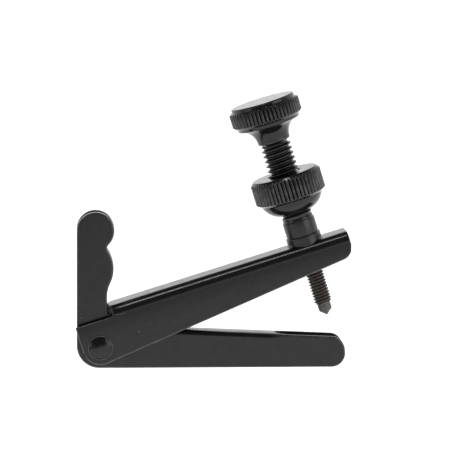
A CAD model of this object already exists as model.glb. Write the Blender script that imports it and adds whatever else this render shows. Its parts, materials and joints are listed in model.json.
"""Looks of a black metal string adjuster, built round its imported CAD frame.

Lengths in this file are millimetres in the part's own axes, and MM turns them into metres where a
mesh, a lamp or the camera is made. +Z runs up the post, +X along the frame to its free end.
"""

import json
import math

import bmesh
import bpy
from mathutils import Matrix, Vector


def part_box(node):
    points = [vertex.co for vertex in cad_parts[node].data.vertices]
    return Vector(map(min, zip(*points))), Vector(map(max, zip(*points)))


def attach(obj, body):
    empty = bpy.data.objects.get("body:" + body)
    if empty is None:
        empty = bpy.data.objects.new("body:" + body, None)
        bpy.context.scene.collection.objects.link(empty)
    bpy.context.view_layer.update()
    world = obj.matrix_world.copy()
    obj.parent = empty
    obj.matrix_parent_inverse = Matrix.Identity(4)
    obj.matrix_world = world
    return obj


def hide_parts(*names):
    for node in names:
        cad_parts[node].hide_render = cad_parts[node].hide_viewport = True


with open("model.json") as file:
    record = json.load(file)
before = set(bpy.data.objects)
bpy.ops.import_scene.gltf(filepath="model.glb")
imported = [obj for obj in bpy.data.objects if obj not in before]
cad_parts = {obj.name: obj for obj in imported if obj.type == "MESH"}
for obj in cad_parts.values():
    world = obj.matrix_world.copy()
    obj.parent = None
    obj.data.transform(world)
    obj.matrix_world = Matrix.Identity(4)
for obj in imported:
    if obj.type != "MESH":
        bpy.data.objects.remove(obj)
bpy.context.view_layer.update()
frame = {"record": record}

MM = 0.001
WELD = 0.0004
FULL_TURN = 2 * math.pi
WORN = "worn"
SHARP_ANGLE = math.radians(50)
RUNNING_GAP = 0.04


def low(node, axis):
    """Lowest coordinate of a CAD node, in millimetres."""
    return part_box(node)[0][axis] / MM


def high(node, axis):
    """Highest coordinate of a CAD node, in millimetres."""
    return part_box(node)[1][axis] / MM


X, Y, Z = 0, 1, 2
JOINTS = {joint["name"]: joint for joint in frame["record"]["behaviour"]["joints"]}
PIVOT = [value / MM for value in JOINTS["lever_pivot"]["pos_m"]]

# Post, M4.5 x 0.75, and screw, M2.5 x 0.45
POST_CREST = 2.3
POST_PITCH = 0.75
POST_SHANK = high("post", X)
POST_SHANK_TOP = 3.46
POST_TOP = high("post", Z)
POST_FOOT = low("post", Z)
POST_CHAMFER = 0.37
POST_SPIGOT = 1.75
POST_SWAGE = 1.95
POST_RELIEF = 0.12
SCREW_CREST = high("screw", X)
SCREW_BEVEL = 0.2
SCREW_PITCH = 0.45
SCREW_BORE = SCREW_CREST + RUNNING_GAP
SCREW_POINT = low("screw", Z)
SCREW_TOP = high("screw", Z)
SCREW_THREAD_END = -9.55
DOG_END = -10.68
DOG_RADIUS = 0.98
DOG_BARREL = 0.03
THREAD_DEPTH = 0.6134

# Knob and ring nut
KNOB_FOOT = 15.68
KNOB_NECK = 2.45
KNOB_FLARE = 2.53
KNOB_RIM = 4.62
KNOB_RIM_Z = 18.42
KNOB_RIM_TOP = (4.8, 18.92)
KNOB_BAND_LOW = 19.34
KNOB_BAND_HIGH = 21.18
KNOB_STEP_Z = 21.48
KNOB_DISC = 4.78
KNOB_TOP = high("knob", Z)
KNOB_BAND = 5.29
KNOB_BREAK = KNOB_BAND - 0.35
NUT_BORE = POST_CREST + RUNNING_GAP
NUT_NOSE = 2.6
NUT_FOOT = low("ring_nut", Z)
NUT_DOME = 4.66
NUT_DOME_Z = 6.85
NUT_DOME_ROUND = 3.1
NUT_BAND = 5.33
NUT_BAND_LOW = 7.3
NUT_BAND_HIGH = 10.17
NUT_TOP_RADIUS = 4.85
NUT_TOP = high("ring_nut", Z)
KNURLS = 54
KNURL_DEPTH = 0.26

# Frame, a channel folded from sheet
SHEET = 1.07
FRAME_HALF = high("frame", Y)
FRAME_TOE = high("frame", X) - 0.01
FRAME_HEEL = low("frame", X)
FRAME_BEND = 1.35
FRAME_TOE_DEPTH = 3.61
FRAME_HEEL_DEPTH = 8.17
FRAME_TOE_ROUND = 1.9
CHEEK_ROUND = 2.6
CHEEK_TOP = -1.5
SPLAY = 0.1
SPLAY_REACH = 3.2
WEB_START = -30.4
FAR_HEEL_CUT = 0.45
FAR_HEEL_CUT_START = -32
COLLAR_TOP = high("frame", Z)
COLLAR_RADIUS = 2.62
COLLAR_FOOT = 2.9
COLLAR_RISE = 0.32

# Rivet
RIVET_SHANK = 1.1
RIVET_HEAD = high("pivot_rivet", X) - PIVOT[0]
RIVET_RIM = 0.14
RIVET_END = high("pivot_rivet", Y)

# Lever, drawn about its pivot with the arm's lower edge level
LEVER_OPEN = 17.6
LEVER_HALF = high("lever", Y)
LEVER_SHEET = 1.05
LEVER_LOW = 3.345
ARM_END = 36.5
ARM_END_ROUND = 2.05
ARM_TOP_NEAR = 2.8
ARM_TOP_FAR = 1.25
INNER_X = 1.0
INNER_ROUND = 3.5
BUMP_Z = 8.6
BUMP_ROUND = 4.58
WAIST_ROUND = 4.5
NIP_Z = 14.68
NOTCH_ROUND = 0.8
HEAD = (-0.67, 17.12)
HEAD_ROUND = 2.78
SLOT_TIP = 26.0
SLOT_START = 27.9
SLOT_HALF = LEVER_HALF - LEVER_SHEET
ARM_CROWN = 0.3


# ---------------------------------------------------------------------------- drawing in the plane


def direction(start, end):
    """Unit vector from one point of the plane to another."""
    return (Vector(end) - Vector(start)).normalized()


def soften(corners, steps=5):
    """A line through corners (across, up, radius), with an arc at each that has a radius."""
    line = [tuple(corners[0][:2])]
    for before, corner, after in zip(corners, corners[1:], corners[2:]):
        here = Vector(corner[:2])
        radius = corner[2] if len(corner) == 3 else 0
        if radius == 0:
            line.append(tuple(here))
            continue
        back = direction(here, before[:2])
        on = direction(here, after[:2])
        half = back.angle(on) / 2
        reach = radius / math.tan(half)
        centre = here + (back + on).normalized() * (radius / math.sin(half))
        first = here + back * reach - centre
        last = here + on * reach - centre
        turn = first.angle_signed(last)
        for step in range(steps + 1):
            spoke = first.copy()
            spoke.rotate(Matrix.Rotation(-turn * step / steps, 2))
            line.append(tuple(centre + spoke))
    line.append(tuple(corners[-1][:2]))
    return line


def arc(start, end, radius, steps):
    """Points of the short arc from start to end. A positive radius has its centre to the left."""
    start, end = Vector(start), Vector(end)
    half = (end - start) / 2
    left = Vector((-half.y, half.x)).normalized()
    reach = math.sqrt(radius**2 - half.length_squared)
    centre = start + half + left * math.copysign(reach, radius)
    return sweep_arc(centre, start, end, radius > 0, steps)


def sweep_arc(centre, start, end, anticlockwise, steps):
    """Points round a centre from start to end, in the stated sense."""
    centre, start, end = Vector(centre), Vector(start), Vector(end)
    radius = (start - centre).length
    first = math.atan2(start.y - centre.y, start.x - centre.x)
    last = math.atan2(end.y - centre.y, end.x - centre.x)
    turn = (last - first) % FULL_TURN
    if not anticlockwise:
        turn -= FULL_TURN
    angles = [first + turn * step / steps for step in range(steps + 1)]
    return [(centre.x + radius * math.cos(a), centre.y + radius * math.sin(a)) for a in angles]


def slope(start, end, steps):
    """Evenly spaced points of a straight line."""
    return [
        (start[0] + (end[0] - start[0]) * s / steps, start[1] + (end[1] - start[1]) * s / steps)
        for s in range(steps + 1)
    ]


def blend_between(value, start, end):
    """0 before start, 1 after end, and a smooth rise between them."""
    part = min(max((value - start) / (end - start), 0), 1)
    return part * part * (3 - 2 * part)


# ---------------------------------------------------------------------------- mesh building


def new_object(name, mesh):
    """Turn a bmesh into an object, its doubled points welded and its faces turned outwards."""
    bmesh.ops.remove_doubles(mesh, verts=mesh.verts, dist=WELD * MM)
    bmesh.ops.recalc_face_normals(mesh, faces=mesh.faces)
    data = bpy.data.meshes.new(name)
    mesh.to_mesh(data)
    mesh.free()
    piece = bpy.data.objects.new(name, data)
    bpy.context.collection.objects.link(piece)
    return piece


def finish_shading(piece, wear):
    """Smooth faces, sharp edges split, flat faces kept flat, and tight outer bends marked worn."""
    least_bend = math.radians(4)
    worn_round, whole_round = 0.2, 0.5
    mesh = bmesh.new()
    mesh.from_mesh(piece.data)
    for face in mesh.faces:
        face.smooth = True
    worn = mesh.verts.layers.float.new(WORN)
    for edge in mesh.edges:
        angle = edge.calc_face_angle(0)
        edge.smooth = angle < SHARP_ANGLE
        if edge.is_convex and angle > least_bend:
            share = 1 - blend_between(bend_radius(edge, angle), worn_round, whole_round)
            for vert in edge.verts:
                vert[worn] = max(vert[worn], wear * share)
    mesh.to_mesh(piece.data)
    mesh.free()
    normals = piece.modifiers.new("flat faces", "WEIGHTED_NORMAL")
    normals.keep_sharp = True


def bend_radius(edge, angle):
    """Radius, in millimetres, of the rounding that an edge is one step of."""
    along = (edge.verts[1].co - edge.verts[0].co).normalized()
    middles = [face.calc_center_median() for face in edge.link_faces]
    gap = middles[1] - middles[0]
    return (gap - along * gap.dot(along)).length / angle / MM


def turned(name, column_at, segments, closed=True):
    """A body turned round Z. column_at(angle) gives its line of (radius, height) points."""
    mesh = bmesh.new()
    columns = []
    for step in range(segments + 1):
        angle = FULL_TURN * step / segments
        across, along = math.cos(angle) * MM, math.sin(angle) * MM
        line = column_at(angle)
        columns.append([mesh.verts.new((r * across, r * along, z * MM)) for r, z in line])
    for left, right in zip(columns, columns[1:]):
        count = len(left)
        for here in range(count if closed else count - 1):
            there = (here + 1) % count
            mesh.faces.new((left[here], right[here], right[there], left[there]))
    return new_object(name, mesh)


def thread_line(angle, crest, pitch, bottom, top, depth_at, limit_at):
    """One column of a right-hand thread between two heights: a list of (radius, height)."""
    # place in the pitch, and how deep the groove is there
    shape = [
        (0.0, 0.0), (0.07, 0.0), (0.11, 0.07), (0.25, 0.5), (0.39, 0.93), (0.43, 1.0), (0.5, 1.02),
        (0.57, 1.0), (0.61, 0.93), (0.75, 0.5), (0.89, 0.07), (0.93, 0.0),
    ]
    lead = pitch * angle / FULL_TURN
    turns = range(math.floor(bottom / pitch) - 2, math.ceil(top / pitch) + 2)
    line = []
    for turn in turns:
        for place, groove in shape:
            height = (turn + place) * pitch + lead
            held = min(max(height, bottom), top)
            if held != height:
                # the column ends on the same plane all round, so its radius is read at that height
                phase = ((held - lead) / pitch) % 1.0
                groove = groove_depth(shape, phase)
            radius = crest - groove * THREAD_DEPTH * pitch * depth_at(held)
            line.append((min(radius, limit_at(held)), held))
    return line


def groove_depth(shape, phase):
    """Depth of the thread's groove at any place in the pitch."""
    closed = shape + [(1.0, 0.0)]
    for (start, low_depth), (end, high_depth) in zip(closed, closed[1:]):
        if phase <= end:
            return low_depth + (high_depth - low_depth) * (phase - start) / (end - start)
    return 0.0


def stand_at_pivot(degrees, axis):
    """The move that turns a mesh about an axis and carries it from the origin to the pivot."""
    place = Matrix.Translation(Vector(PIVOT) * MM)
    return place @ Matrix.Rotation(math.radians(degrees), 4, axis)


def make_post():
    """Hollow post: bore, swaged foot, smooth shank, thread that runs out above it."""
    run_out = 1.7
    mouth_bevel = 0.12
    thread_foot = POST_SHANK_TOP + 0.1

    def column(angle):
        foot = soften(
            [
                (SCREW_BORE, 0),
                (SCREW_BORE, POST_FOOT),
                (POST_SWAGE, POST_FOOT, 0.12),
                (POST_SWAGE, -SHEET),
                (POST_SPIGOT, -SHEET),
                (POST_SPIGOT, 0),
                (POST_SHANK, 0),
                (POST_SHANK, COLLAR_TOP - 0.04),
                (POST_SHANK - POST_RELIEF, COLLAR_TOP + 0.02, 0.03),
                (POST_SHANK - POST_RELIEF, COLLAR_TOP + 0.1, 0.03),
                (POST_SHANK, COLLAR_TOP + 0.18, 0.05),
                (POST_SHANK, POST_SHANK_TOP, 0.05),
                (POST_CREST, thread_foot),
            ]
        )
        thread = thread_line(
            angle,
            POST_CREST,
            POST_PITCH,
            thread_foot,
            POST_TOP,
            lambda height: blend_between(height, thread_foot, thread_foot + run_out),
            lambda height: POST_CREST - max(0.0, height - POST_TOP + POST_CHAMFER),
        )
        mouth = [(SCREW_BORE + mouth_bevel, POST_TOP), (SCREW_BORE, POST_TOP - mouth_bevel)]
        return foot + thread + mouth

    return turned("post_threaded", column, 96)


def make_screw():
    """Adjusting screw: thread up to the knob, plain dog and a turned cone point."""

    def column(angle):
        tip = soften(
            [
                (0, SCREW_POINT),
                (0.05, SCREW_POINT),
                (DOG_RADIUS, DOG_END, 0.08),
                (DOG_RADIUS + DOG_BARREL, (DOG_END + SCREW_THREAD_END) / 2, 0.5),
                (DOG_RADIUS, SCREW_THREAD_END),
            ],
            steps=6,
        )
        thread = thread_line(
            angle,
            SCREW_CREST,
            SCREW_PITCH,
            SCREW_THREAD_END,
            SCREW_TOP,
            lambda height: 1.0,
            lambda height: SCREW_CREST - SCREW_BEVEL + height - SCREW_THREAD_END,
        )
        return tip + thread + [(0, SCREW_TOP)]

    return turned("screw_threaded", column, 72, closed=False)


def knurled(line, band, angle):
    """The same line with the knurl's groove cut into it at this angle."""
    place = (angle * KNURLS / FULL_TURN) % 1.0
    half_width = 0.38
    groove = max(0.0, 1 - abs(place - 0.5) / half_width)
    limit = band - KNURL_DEPTH * groove
    return [(min(radius, limit), height) for radius, height in line]


def make_knob():
    """Knurled knob: rounded foot, neck, flare, rim, knurled band and a raised round top.

    The band's slopes are divided, so that the knurl can run out along them.
    """
    neck_edge = 0.3
    rise = KNOB_RIM_Z - KNOB_FOOT - neck_edge
    flare_end = KNOB_NECK + KNOB_FLARE - math.sqrt(KNOB_FLARE**2 - rise**2)
    foot = soften(
        [
            (SCREW_BORE, KNOB_FOOT),
            (KNOB_NECK, KNOB_FOOT, neck_edge),
            (KNOB_NECK, KNOB_FOOT + neck_edge * 1.01),
        ]
    )
    flare = arc((KNOB_NECK, KNOB_FOOT + neck_edge), (flare_end, KNOB_RIM_Z), -KNOB_FLARE, 20)
    rim = soften([(flare_end, KNOB_RIM_Z), (KNOB_RIM, KNOB_RIM_Z, 0.18), KNOB_RIM_TOP])
    band = slope(KNOB_RIM_TOP, (KNOB_BAND, KNOB_BAND_LOW), 8)
    band += slope((KNOB_BAND, KNOB_BAND_HIGH), (KNOB_BREAK, KNOB_STEP_Z), 8)
    top = soften(
        [
            (KNOB_BREAK, KNOB_STEP_Z),
            (KNOB_DISC, KNOB_STEP_Z, 0.05),
            (KNOB_DISC, KNOB_TOP, 0.2),
            (KNOB_DISC - 0.4, KNOB_TOP),
            (0, KNOB_TOP),
            (0, SCREW_TOP + RUNNING_GAP),
            (SCREW_BORE, SCREW_TOP + RUNNING_GAP),
        ],
        steps=6,
    )
    line = foot + flare[1:] + rim[1:] + band[1:] + top[1:]
    return turned("knob_knurled", lambda angle: knurled(line, KNOB_BAND, angle), KNURLS * 8)


def make_ring_nut():
    """Ring nut: domed nose, knurled band, flat top with a chamfered mouth."""
    nose_edge = 0.06
    mouth_bevel = 0.25
    rim = (NUT_TOP_RADIUS + 0.1, NUT_TOP - 0.1)
    foot = soften(
        [
            (NUT_BORE, NUT_FOOT + 0.2),
            (NUT_BORE, NUT_FOOT, nose_edge),
            (NUT_NOSE, NUT_FOOT, nose_edge),
            (NUT_NOSE + 0.1, NUT_FOOT + nose_edge),
        ]
    )
    dome = arc((NUT_NOSE, NUT_FOOT), (NUT_DOME, NUT_DOME_Z), NUT_DOME_ROUND, 24)
    band = slope((NUT_DOME, NUT_DOME_Z), (NUT_BAND, NUT_BAND_LOW), 8)
    band += slope((NUT_BAND, NUT_BAND_HIGH), rim, 8)
    mouth = soften(
        [
            rim,
            (NUT_TOP_RADIUS, NUT_TOP, 0.12),
            (NUT_BORE + mouth_bevel, NUT_TOP, 0.04),
            (NUT_BORE, NUT_TOP - mouth_bevel),
            (NUT_BORE, NUT_TOP - 0.4),
        ]
    )
    line = foot[:-1] + dome[1:] + band[1:] + mouth[1:]
    return turned("ring_nut_knurled", lambda angle: knurled(line, NUT_BAND, angle), KNURLS * 8)


def make_rivet():
    """Rivet through both cheeks: low domed heads with a rolled rim."""
    rim_top = FRAME_HALF + RIVET_RIM
    dome_foot = FRAME_HALF + 0.07
    dome_round = RIVET_HEAD - 0.17
    dome_rise = RIVET_END - dome_foot
    dome = (dome_round**2 + dome_rise**2) / (2 * dome_rise)
    upper = soften(
        [
            (RIVET_SHANK, 0),
            (RIVET_SHANK, FRAME_HALF),
            (RIVET_HEAD, FRAME_HALF, 0.02),
            (RIVET_HEAD, rim_top, 0.06),
            (dome_round + 0.02, rim_top, 0.03),
        ]
        + arc((dome_round, dome_foot), (0, RIVET_END), dome, 14)
    )
    lower = [(radius, -height) for radius, height in reversed(upper)]
    line = lower[:-1] + upper
    rivet = turned("rivet_heads", lambda angle: line, 72, closed=False)
    rivet.data.transform(stand_at_pivot(90, "X"))
    return rivet


# ---------------------------------------------------------------------------- frame and lever


def frame_stations():
    """Places along the frame and the height of its lower edge at each, from heel to toe."""
    # room for the rounding of the sheet's end
    least_gap = 0.18
    heel_x, heel_z = PIVOT[0], PIVOT[2]
    slant = (FRAME_HEEL_DEPTH - FRAME_TOE_DEPTH) / (FRAME_TOE - FRAME_HEEL)
    lean = math.atan(slant)
    heel_end = (heel_x + CHEEK_ROUND * math.sin(lean), heel_z - CHEEK_ROUND * math.cos(lean))
    heel = sweep_arc((heel_x, heel_z), (FRAME_HEEL, heel_z), heel_end, True, 14)
    corner = (FRAME_TOE, -FRAME_TOE_DEPTH)
    toe = soften([heel_end, (*corner, FRAME_TOE_ROUND), (FRAME_TOE, 0)], steps=12)[1:-1]
    web = (WEB_START, heel_end[1] + (WEB_START - heel_end[0]) * slant)
    stations = heel + slope(web, toe[0], 18) + toe[1:-1]
    kept = [stations[0]]
    for station in stations[1:]:
        if station[0] - kept[-1][0] > least_gap and FRAME_TOE - station[0] > least_gap:
            kept.append(station)
    return kept + [(FRAME_TOE, FRAME_TOE_ROUND - FRAME_TOE_DEPTH - 0.2)]


def make_frame():
    """Folded channel as one sheet of even thickness, with its drawn collar."""
    mid = FRAME_HALF - SHEET / 2
    bend_mid = FRAME_BEND - SHEET / 2
    bend_y = FRAME_HALF - FRAME_BEND - SPLAY
    bend_steps = 12
    rows = 12
    near_bend = []
    far_bend = []
    for step in range(bend_steps + 1):
        turn = math.radians(90) * step / bend_steps
        out, up = bend_mid * math.cos(turn), bend_mid * math.sin(turn)
        near_bend.append((-bend_y - out, up - FRAME_BEND))
        far_bend.insert(0, (bend_y + out, up - FRAME_BEND))
    over_web = near_bend + [(-bend_y * part, -SHEET / 2) for part in (0.5, 0, -0.5)] + far_bend

    def cheek_y(z):
        """The cheek leans in a little where it leaves the bend, as a folded sheet does."""
        return mid - SPLAY * max(0.0, 1 - (CHEEK_TOP - z) / SPLAY_REACH) ** 2

    mesh = bmesh.new()
    sections = []
    for x, bottom in frame_stations():
        tight = min(0.22, (CHEEK_TOP - bottom) / 3)
        inner_rows = slope((0, bottom + tight), (0, CHEEK_TOP - tight), rows - 3)
        cheek = [bottom] + [z for _, z in inner_rows] + [CHEEK_TOP]
        outline = [(-cheek_y(z), z) for z in cheek]
        if x > WEB_START - WELD:
            outline += over_web
        else:
            outline += [None] * len(over_web)
        outline += [(cheek_y(z), z) for z in reversed(cheek)]
        # the far cheek was cut a little short at its heel
        short = FAR_HEEL_CUT * blend_between(-x, -FAR_HEEL_CUT_START, -FRAME_HEEL)
        section = []
        for point in outline:
            if point is None:
                section.append(None)
                continue
            y, z = point
            section.append(mesh.verts.new(((x + short if y > 0 else x) * MM, y * MM, z * MM)))
        sections.append(section)
    for left, right in zip(sections, sections[1:]):
        for row in range(len(left) - 1):
            corners = (left[row], right[row], right[row + 1], left[row + 1])
            if all(corners):
                mesh.faces.new(corners)
    web_end = next(section for section in sections if section[rows])
    add_lip(mesh, web_end[rows + bend_steps : -rows - bend_steps])
    channel = new_object("frame_channel", mesh)
    thicken(channel, SHEET)
    break_edges(channel, 0.15)

    collar_top = soften(
        [
            (POST_SHANK, -0.6),
            (POST_SHANK, COLLAR_TOP - 0.25),
            (POST_SHANK + 0.08, COLLAR_TOP - 0.05, 0.05),
            (COLLAR_RADIUS - 0.03, COLLAR_TOP, 0.04),
            (COLLAR_RADIUS, COLLAR_TOP - 0.1, 0.08),
            (COLLAR_RADIUS, COLLAR_TOP / 2),
        ]
    )

    def collar_column(angle):
        """The collar's foot flows down over the bends where it reaches past the flat web."""
        over = max(0.0, abs(math.sin(angle)) * COLLAR_FOOT - bend_y)
        drop = FRAME_BEND - math.sqrt(FRAME_BEND**2 - over**2)
        foot = arc((COLLAR_RADIUS, COLLAR_RISE - drop), (COLLAR_FOOT, -drop), COLLAR_RISE, 8)
        return collar_top + foot + [(COLLAR_FOOT, -drop - 0.25), (POST_SHANK, -0.9)]

    collar = turned("frame_collar", collar_column, 96)
    return join("frame_shell", [channel, collar])


def add_lip(mesh, edge):
    """Carry the web's cut end on into a short lip, curled down."""
    for out, down in ((0.2, 0.02), (0.4, 0.12), (0.55, 0.32)):
        place = Vector(((WEB_START - out) * MM, 0, (-SHEET / 2 - down) * MM))
        row = [mesh.verts.new(place + Vector((0, vert.co.y, 0))) for vert in edge]
        for here in range(len(edge) - 1):
            mesh.faces.new((edge[here], row[here], row[here + 1], edge[here + 1]))
        edge = row


def thicken(piece, thickness):
    """Give a surface an even thickness, half to each side."""
    sheet = piece.modifiers.new("sheet", "SOLIDIFY")
    sheet.thickness = thickness * MM
    sheet.offset = 0
    sheet.use_even_offset = True


def break_edges(piece, width):
    """Round the sharp edges of a sheet-metal piece."""
    edges = piece.modifiers.new("edges", "BEVEL")
    edges.width = width * MM
    edges.segments = 4
    edges.use_clamp_overlap = False
    edges.limit_method = "ANGLE"
    edges.angle_limit = SHARP_ANGLE
    edges.miter_outer = "MITER_ARC"


def join(name, pieces):
    """One object from several, with their modifiers applied."""
    mesh = bmesh.new()
    depsgraph = bpy.context.evaluated_depsgraph_get()
    for piece in pieces:
        data = bpy.data.meshes.new_from_object(piece.evaluated_get(depsgraph))
        mesh.from_mesh(data)
        bpy.data.meshes.remove(data)
        bpy.data.objects.remove(piece)
    return new_object(name, mesh)


def tangent_point(centre, radius, other):
    """The point of a circle that faces another circle's centre."""
    return Vector(centre) + direction(centre, other) * radius


def touching(first, first_reach, second, second_reach):
    """A centre at stated distances from two others, on the right of the way between them."""
    first, second = Vector(first), Vector(second)
    gap = (second - first).length
    along = (first_reach**2 - second_reach**2 + gap**2) / (2 * gap)
    aside = math.sqrt(first_reach**2 - along**2)
    way = (second - first) / gap
    return first + way * along + Vector((way.y, -way.x)) * aside


def lever_outline():
    """Side view of the lever, anticlockwise from the top of its back edge: a list of points."""
    back = HEAD[0] - HEAD_ROUND
    heel = (back + LEVER_LOW, 0)
    fall = (ARM_TOP_NEAR - ARM_TOP_FAR) / (ARM_END - INNER_X)
    lean = math.atan(fall)
    up = Vector((math.sin(lean), math.cos(lean)))
    end_low = (ARM_END - ARM_END_ROUND, ARM_END_ROUND - LEVER_LOW)
    top_at_end = ARM_TOP_FAR + fall * ARM_END_ROUND
    end_high = (ARM_END - ARM_END_ROUND, top_at_end - ARM_END_ROUND / math.cos(lean))
    inner_z = ARM_TOP_NEAR - fall * INNER_ROUND + INNER_ROUND / math.cos(lean)
    inner = (INNER_X + INNER_ROUND, inner_z)
    nip_x = HEAD[0] + math.sqrt(HEAD_ROUND**2 - (HEAD[1] - NIP_Z) ** 2)
    bump_start = Vector((INNER_X, BUMP_Z))
    bump_end = Vector((nip_x, NIP_Z))
    half = (bump_end - bump_start) / 2
    aside = math.sqrt(BUMP_ROUND**2 - half.length_squared)
    bump = bump_start + half + Vector((-half.y, half.x)).normalized() * aside
    # the waist's circle touches the inner edge's line and the bump's circle
    waist_x = INNER_X + WAIST_ROUND
    waist_drop = math.sqrt((WAIST_ROUND + BUMP_ROUND) ** 2 - (waist_x - bump.x) ** 2)
    waist = Vector((waist_x, bump.y - waist_drop))
    notch = touching(bump, BUMP_ROUND + NOTCH_ROUND, HEAD, HEAD_ROUND + NOTCH_ROUND)

    outline = slope((back, HEAD[1]), (back, 0), 12)
    outline += sweep_arc(heel, (back, 0), (heel[0], -LEVER_LOW), True, 14)[1:]
    outline += slope((heel[0], -LEVER_LOW), (end_low[0], -LEVER_LOW), 24)[1:]
    outline += sweep_arc(end_low, (end_low[0], -LEVER_LOW), (ARM_END, end_low[1]), True, 14)[1:]
    arm_top = Vector(end_high) + up * ARM_END_ROUND
    outline += sweep_arc(end_high, (ARM_END, end_high[1]), arm_top, True, 14)[1:]
    inner_foot = Vector(inner) - up * INNER_ROUND
    outline += slope(arm_top, inner_foot, 24)[1:]
    outline += sweep_arc(inner, inner_foot, (INNER_X, inner[1]), False, 16)[1:]
    waist_end = tangent_point(bump, BUMP_ROUND, waist)
    outline += sweep_arc(waist, (INNER_X, waist.y), waist_end, False, 8)
    notch_start = tangent_point(bump, BUMP_ROUND, notch)
    outline += sweep_arc(bump, waist_end, notch_start, True, 16)[1:]
    notch_end = tangent_point(HEAD, HEAD_ROUND, notch)
    outline += sweep_arc(notch, notch_start, notch_end, False, 10)[1:]
    outline += sweep_arc(HEAD, notch_end, (back, HEAD[1]), True, 40)[1:-1]
    return outline


def inward_normals(outline):
    """Unit vectors that point into the material at each point of an anticlockwise outline."""
    count = len(outline)
    normals = []
    for place in range(count):
        way = direction(outline[place - 1], outline[(place + 1) % count])
        normals.append(Vector((-way.y, way.x)))
    return normals


def crown_drop(y):
    """How far the crowned top of the lever's arm has fallen at this distance from its middle."""
    return ARM_CROWN * (abs(y) / LEVER_HALF) ** 4


def add_plate(mesh, outline, inner_y, outer_y, inner_edges, outer_edges, crowned):
    """A closed plate between two depths, its edges rounded and its top crowned where it's asked."""
    face_inset = 0.1
    steps = 6
    normals = inward_normals(outline)
    out = math.copysign(1, outer_y - inner_y)
    quarter = [math.radians(90) * step / steps for step in range(steps + 1)]

    def ring(face_y, way, radii, angle, further=0.0):
        """The outline at one angle of the rounding, or further in on the flat face."""
        points = []
        for place, normal, radius, crown in zip(outline, normals, radii, crowned):
            depth = face_y - way * radius * (1 - math.sin(angle))
            inset = radius * (1 - math.cos(angle)) + further + crown * crown_drop(depth)
            x, z = Vector(place) + normal * inset
            points.append(mesh.verts.new((x * MM, depth * MM, z * MM)))
        return points

    rings = [ring(inner_y, -out, inner_edges, angle) for angle in reversed(quarter)]
    starts = [inner_y + out * radius for radius in inner_edges]
    ends = [outer_y - out * radius for radius in outer_edges]
    for share in (0.2, 0.4, 0.6, 0.8):
        depths = [start * (1 - share) + end * share for start, end in zip(starts, ends)]
        rings.append(flat_ring(mesh, outline, normals, crowned, depths))
    rings += [ring(outer_y, out, outer_edges, angle) for angle in quarter]
    rings.insert(0, ring(inner_y, -out, inner_edges, quarter[-1], face_inset))
    rings.append(ring(outer_y, out, outer_edges, quarter[-1], face_inset))
    count = len(outline)
    for lower, upper in zip(rings, rings[1:]):
        for here in range(count):
            there = (here + 1) % count
            mesh.faces.new((lower[here], lower[there], upper[there], upper[here]))
    mesh.faces.new(rings[0])
    mesh.faces.new(rings[-1])


def flat_ring(mesh, outline, normals, crowned, depths):
    """The plate's outline at the stated depths, where its edge isn't rounded."""
    points = []
    for place, normal, crown, depth in zip(outline, normals, crowned, depths):
        x, z = Vector(place) + normal * crown * crown_drop(depth)
        points.append(mesh.verts.new((x * MM, depth * MM, z * MM)))
    return points


def make_lever():
    """Lever of folded sheet: two plates of one outline, and the web that joins them on the arm."""
    outline = lever_outline()
    upright_edge, fold_edge, prong_edge, slot_edge, hidden_edge = 0.26, 0.34, 0.2, 0.75, 0.15
    inner_edges = []
    outer_edges = []
    crowned = []
    for x, z in outline:
        on_arm = blend_between(x, 1.0, 4.0)
        on_prongs = blend_between(x, SLOT_TIP, SLOT_TIP + 1.4)
        top = blend_between(z, -1.0, 0.0) * on_arm
        arm_edge = prong_edge + (fold_edge - prong_edge) * top * (1 - on_prongs)
        outer_edges.append(upright_edge + (arm_edge - upright_edge) * on_arm)
        inner_edges.append(hidden_edge + (slot_edge - hidden_edge) * top * on_prongs)
        crowned.append(top * (1 - 0.4 * on_prongs))
    mesh = bmesh.new()
    for side in (-1, 1):
        inner_y, outer_y = side * SLOT_HALF, side * LEVER_HALF
        add_plate(mesh, outline, inner_y, outer_y, inner_edges, outer_edges, crowned)
    plates = new_object("lever_plates", mesh)
    lever = join("lever_fork", [plates, make_lever_web()])
    lever.data.transform(stand_at_pivot(LEVER_OPEN, "Y"))
    return lever


def make_lever_web():
    """The web on top of the arm, which ends in a pointed slot."""
    fall = (ARM_TOP_NEAR - ARM_TOP_FAR) / (ARM_END - INNER_X)
    tuck = 0.35
    sink = 0.004
    start_x = 3.6
    half = SLOT_HALF + tuck
    across = [half * step / 12 for step in range(-12, 13)]
    slot_length = SLOT_START - SLOT_TIP

    def top_at(x):
        """Height of the web's middle surface."""
        return ARM_TOP_NEAR - fall * (x - INNER_X) - LEVER_SHEET / 2 - sink

    mesh = bmesh.new()
    rows = []
    for y in across:
        share = min(abs(y) / (half - 0.05), 1.0)
        end_x = SLOT_TIP + slot_length * (1 - math.sqrt(1 - share**2)) if share < 1 else SLOT_START
        line = slope((start_x, 0), (end_x, 0), 30)
        points = [(x, y, top_at(x) - crown_drop(y)) for x, _ in line]
        rows.append([mesh.verts.new(Vector(point) * MM) for point in points])
    for near, far in zip(rows, rows[1:]):
        for here in range(len(near) - 1):
            mesh.faces.new((near[here], near[here + 1], far[here + 1], far[here]))
    web = new_object("lever_web", mesh)
    thicken(web, LEVER_SHEET)
    break_edges(web, 0.16)
    return web


# ---------------------------------------------------------------------------- materials


def add_node(tree, kind, inputs=(), **settings):
    """A shader node with its settings, and each input either linked from a socket or set."""
    made = tree.nodes.new(kind)
    for name, value in settings.items():
        setattr(made, name, value)
    for name, value in dict(inputs).items():
        if isinstance(value, bpy.types.NodeSocket):
            tree.links.new(value, made.inputs[name])
        else:
            made.inputs[name].default_value = value
    return made


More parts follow.
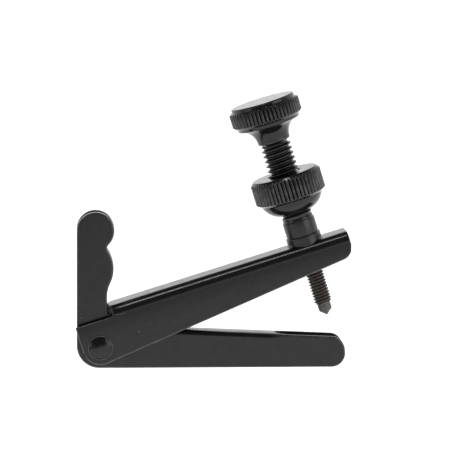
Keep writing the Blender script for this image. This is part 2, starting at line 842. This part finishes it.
def noise(tree, place, size, detail=3.0):
    """Noise whose lumps are about this many millimetres across."""
    inputs = {"Vector": place, "Scale": 1 / (size * MM), "Detail": detail, "Roughness": 0.55}
    return add_node(tree, "ShaderNodeTexNoise", inputs).outputs["Fac"]


def remap(tree, value, start, end, low_value=0.0, high_value=1.0):
    """The value carried from one range to another and held at its ends."""
    made = add_node(
        tree,
        "ShaderNodeMapRange",
        {
            "Value": value,
            "From Min": start,
            "From Max": end,
            "To Min": low_value,
            "To Max": high_value,
        },
        interpolation_type="SMOOTHSTEP",
    )
    return made.outputs["Result"]


def multiply(tree, first, second):
    """Product of two values."""
    made = add_node(tree, "ShaderNodeMath", operation="MULTIPLY")
    tree.links.new(first, made.inputs[0])
    if isinstance(second, bpy.types.NodeSocket):
        tree.links.new(second, made.inputs[1])
    else:
        made.inputs[1].default_value = second
    return made.outputs["Value"]


def mix(tree, share, first, second):
    """Two colours mixed."""
    inputs = {"Fac": share, "Color1": first, "Color2": second}
    return add_node(tree, "ShaderNodeMixRGB", inputs).outputs["Color"]


def split(tree, vector, axis):
    """One coordinate of a vector."""
    return add_node(tree, "ShaderNodeSeparateXYZ", {"Vector": vector}).outputs[axis]


def bump(tree, height, strength, distance, under=None):
    """A normal with a bump of this many millimetres, on top of another normal if one is given."""
    inputs = {"Height": height, "Strength": strength, "Distance": distance * MM}
    if under:
        inputs["Normal"] = under
    return add_node(tree, "ShaderNodeBump", inputs).outputs["Normal"]


def new_material(name):
    """A material with its node tree, its shader and the object's own coordinates."""
    material = bpy.data.materials.new(name)
    material.use_nodes = True
    tree = material.node_tree
    place = add_node(tree, "ShaderNodeTexCoord").outputs["Object"]
    return material, tree, tree.nodes["Principled BSDF"], place


def speck_mask(tree, place, spacing, size):
    """Sparse round specks."""
    inputs = {"Vector": place, "Scale": 1 / (spacing * MM), "Randomness": 1.0}
    cells = add_node(tree, "ShaderNodeTexVoronoi", inputs)
    dots = remap(tree, cells.outputs["Distance"], size / spacing, size / spacing * 0.6)
    chosen = add_node(tree, "ShaderNodeSeparateColor", {"Color": cells.outputs["Color"]})
    return multiply(tree, dots, remap(tree, chosen.outputs["Red"], 0.58, 0.6))


def scratch_mask(tree, place, turn, length, width):
    """Sparse thin straight scratches that run along one way."""
    scale = (1 / (length * MM), 1 / (width * MM), 1 / (width * MM))
    inputs = {"Vector": place, "Rotation": turn, "Scale": scale}
    mapped = add_node(tree, "ShaderNodeMapping", inputs).outputs["Vector"]
    inputs = {"Vector": mapped, "Scale": 1.0, "Detail": 0.0}
    lines = add_node(tree, "ShaderNodeTexNoise", inputs).outputs["Fac"]
    return remap(tree, lines, 0.8, 0.84)


def black_finish(name, tone, roughness, even_wear=0.55, turned_rings=0.0):
    """Semi-gloss black on metal, with an uneven sheen, worn edges, dust and light scratches."""
    material, tree, shader, place = new_material(name)
    lighter = [part * 1.5 for part in tone]
    coat = mix(tree, noise(tree, place, 2.6), (*tone, 1), (*lighter, 1))
    bare = (0.3, 0.295, 0.29, 1)
    edge = add_node(tree, "ShaderNodeAttribute", attribute_name=WORN).outputs["Fac"]
    patches = remap(tree, noise(tree, place, 0.9), 0.4, 0.65, even_wear, 1.0)
    rubbed = multiply(tree, edge, patches)
    scratches = multiply(tree, scratch_mask(tree, place, (0.3, 0.2, 0.5), 2.2, 0.09), 0.12)
    dust = multiply(tree, speck_mask(tree, place, 1.5, 0.075), 0.55)
    colour = mix(tree, rubbed, coat, bare)
    colour = mix(tree, scratches, colour, (0.12, 0.12, 0.12, 1))
    colour = mix(tree, dust, colour, (0.5, 0.5, 0.5, 1))
    tree.links.new(colour, shader.inputs["Base Color"])

    smooth, dull = roughness - 0.05, roughness + 0.06
    sheen = remap(tree, noise(tree, place, 1.1, 5.0), 0.3, 0.7, smooth, dull)
    tree.links.new(mix(tree, dust, sheen, (0.7, 0.7, 0.7, 1)), shader.inputs["Roughness"])
    shader.inputs["IOR"].default_value = 1.42

    skin = bump(tree, noise(tree, place, 0.12, 4.0), 0.06, 0.01)
    skin = bump(tree, noise(tree, place, 0.8), 0.12, 0.02, skin)
    if turned_rings:
        skin = turning_marks(tree, place, turned_rings, skin)
    tree.links.new(skin, shader.inputs["Normal"])
    return material


def turning_marks(tree, place, depth, skin):
    """Fine rings that a lathe tool leaves round Z, as a bump on top of a normal."""
    feed = 0.11
    length = add_node(tree, "ShaderNodeVectorMath", operation="LENGTH")
    flat = add_node(tree, "ShaderNodeMapping", {"Vector": place, "Scale": (1, 1, 0)})
    tree.links.new(flat.outputs["Vector"], length.inputs[0])
    both = add_node(tree, "ShaderNodeMath", operation="ADD")
    tree.links.new(length.outputs["Value"], both.inputs[0])
    tree.links.new(split(tree, place, "Z"), both.inputs[1])
    wave = add_node(tree, "ShaderNodeMath", operation="SINE")
    tree.links.new(multiply(tree, both.outputs["Value"], FULL_TURN / (feed * MM)), wave.inputs[0])
    return bump(tree, wave.outputs["Value"], depth, 0.004, skin)


def dark_steel(name):
    """Oxidised brownish steel of the screw, brighter where it was turned to a point."""
    material, tree, shader, place = new_material(name)
    cloud = remap(tree, noise(tree, place, 0.9, 4.0), 0.35, 0.65)
    oxide = mix(tree, cloud, (0.06, 0.053, 0.047, 1), (0.1, 0.09, 0.08, 1))
    edge = add_node(tree, "ShaderNodeNewGeometry").outputs["Pointiness"]
    colour = mix(tree, remap(tree, edge, 0.5, 0.58, 0.0, 0.6), oxide, (0.2, 0.19, 0.18, 1))
    thread_ends, point_starts = SCREW_THREAD_END + 0.05, SCREW_THREAD_END - 0.05
    point = remap(tree, split(tree, place, "Z"), thread_ends * MM, point_starts * MM)
    colour = mix(tree, point, colour, (0.09, 0.088, 0.085, 1))
    tree.links.new(colour, shader.inputs["Base Color"])
    shader.inputs["Metallic"].default_value = 0.9
    sheen = remap(tree, noise(tree, place, 0.3), 0.3, 0.7, 0.3, 0.5)
    tree.links.new(sheen, shader.inputs["Roughness"])
    skin = bump(tree, noise(tree, place, 0.1, 4.0), 0.2, 0.02)
    tree.links.new(turning_marks(tree, place, 0.5, skin), shader.inputs["Normal"])
    return material


def pale_floor(name):
    """Plain white studio paper, which glows a little less in front of the part."""
    material, tree, shader, place = new_material(name)
    colour = mix(tree, noise(tree, place, 60.0), (0.88, 0.88, 0.88, 1), (0.92, 0.92, 0.92, 1))
    tree.links.new(colour, shader.inputs["Base Color"])
    shader.inputs["Roughness"].default_value = 0.9
    shader.inputs["Specular IOR Level"].default_value = 0.1
    shader.inputs["Emission Color"].default_value = (1, 1, 1, 1)
    glow = remap(tree, split(tree, place, "Y"), -0.95, -0.2, 0.22, 0.88)
    tree.links.new(glow, shader.inputs["Emission Strength"])
    return material


# ---------------------------------------------------------------------------- the part


BLACK = (0.005, 0.005, 0.0054)
COAT = black_finish("black coat", BLACK, 0.2)
KNURL = black_finish("black knurl", BLACK, 0.15, even_wear=0.25, turned_rings=0.12)
THREAD = black_finish("black thread", BLACK, 0.2)
STEEL = dark_steel("dark steel")

# what builds each piece, its body, the node it replaces, its slot, its finish and its wear
PIECES = [
    (make_frame, "frame", "frame", "black_coat", COAT, 0.32),
    (make_post, "frame", "post", "black_thread", THREAD, 0.3),
    (make_rivet, "frame", "pivot_rivet", "black_coat", COAT, 0.22),
    (make_screw, "screw", "screw", "dark_steel", STEEL, 0.3),
    (make_knob, "knob", "knob", "black_knurl", KNURL, 0.12),
    (make_ring_nut, "ring_nut", "ring_nut", "black_knurl", KNURL, 0.22),
    (make_lever, "lever", "lever", "black_coat", COAT, 0.25),
]

for build, body, node, slot, material, wear in PIECES:
    piece = build()
    piece.data.materials.clear()
    piece.data.materials.append(material)
    finish_shading(piece, wear)
    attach(piece, body)
    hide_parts(node)


# ---------------------------------------------------------------------------- stage and light


FLOOR_DROP = -45.0


def add_floor():
    """Large flat floor, below the part and clear of it."""
    half_side = 2000.0
    mesh = bmesh.new()
    bmesh.ops.create_grid(mesh, x_segments=8, y_segments=8, size=half_side * MM)
    floor = new_object("floor", mesh)
    floor.location.z = FLOOR_DROP * MM
    floor.data.materials.append(pale_floor("white paper"))


def build_world():
    """Dim studio with a white sweep of paper low down behind the part."""
    world = bpy.data.worlds.new("studio")
    bpy.context.scene.world = world
    world.use_nodes = True
    tree = world.node_tree
    sky = tree.nodes["Background"]
    way = add_node(tree, "ShaderNodeTexCoord").outputs["Generated"]
    behind = remap(tree, split(tree, way, "Y"), -0.25, 0.3)
    low_down = remap(tree, split(tree, way, "Z"), 0.85, 0.3)
    dim, bright = (0.12, 0.12, 0.124, 1), (1.22, 1.22, 1.22, 1)
    tree.links.new(mix(tree, multiply(tree, behind, low_down), dim, bright), sky.inputs["Color"])
    sky.inputs["Strength"].default_value = 1.0


def add_overhead(name, tilt, spread, strength):
    """Wide even light from overhead. The tilt, in degrees, leans it towards the camera's side."""
    lamp = bpy.data.lights.new(name, "SUN")
    lamp.energy = strength
    lamp.angle = math.radians(spread)
    holder = bpy.data.objects.new(name, lamp)
    bpy.context.collection.objects.link(holder)
    holder.rotation_euler = (math.radians(tilt), 0, 0)


def add_softbox(name, azimuth, distance, width, foot, height, power):
    """Upright soft lamp, at a horizontal angle from the camera towards the part's free end."""
    lamp = bpy.data.lights.new(name, "AREA")
    lamp.shape = "RECTANGLE"
    lamp.size = width * MM
    lamp.size_y = height * MM
    lamp.energy = power
    holder = bpy.data.objects.new(name, lamp)
    bpy.context.collection.objects.link(holder)
    turn = math.radians(azimuth)
    way = Vector((math.sin(turn), -math.cos(turn), 0))
    holder.location = (way * distance + Vector((0, 0, foot + height / 2))) * MM
    holder.rotation_euler = (-way).to_track_quat("-Z", "Y").to_euler()
    holder.visible_camera = False


def place_camera():
    """Camera of the photograph: a long lens, a little above the part and rolled with it."""
    aim = Vector((-10.03, 0, 4.9))
    distance = 324.6
    azimuth, elevation, roll = (math.radians(angle) for angle in (1.74, 8.78, 17.23))
    level = math.cos(elevation)
    back = Vector((-math.sin(azimuth) * level, -math.cos(azimuth) * level, math.sin(elevation)))
    right = Vector((0, 0, 1)).cross(back).normalized()
    turn = Matrix((right, back.cross(right), back)).transposed() @ Matrix.Rotation(-roll, 3, "Z")
    data = bpy.data.cameras.new("photo camera")
    data.lens = 170.6
    data.sensor_width = 36
    data.clip_start = 10 * MM
    data.clip_end = 20000 * MM
    camera = bpy.data.objects.new("photo camera", data)
    bpy.context.collection.objects.link(camera)
    camera.matrix_world = Matrix.Translation((aim + back * distance) * MM) @ turn.to_4x4()
    bpy.context.scene.camera = camera


add_floor()
build_world()
add_overhead("overhead lamp", 20, 14, 0.45)
add_softbox("right softbox", 48, 250, 170, FLOOR_DROP + 4, 150, 0.14)
add_softbox("left softbox", -62, 250, 120, 20, 90, 0.06)
place_camera()
bpy.context.scene.view_settings.view_transform = "Standard"
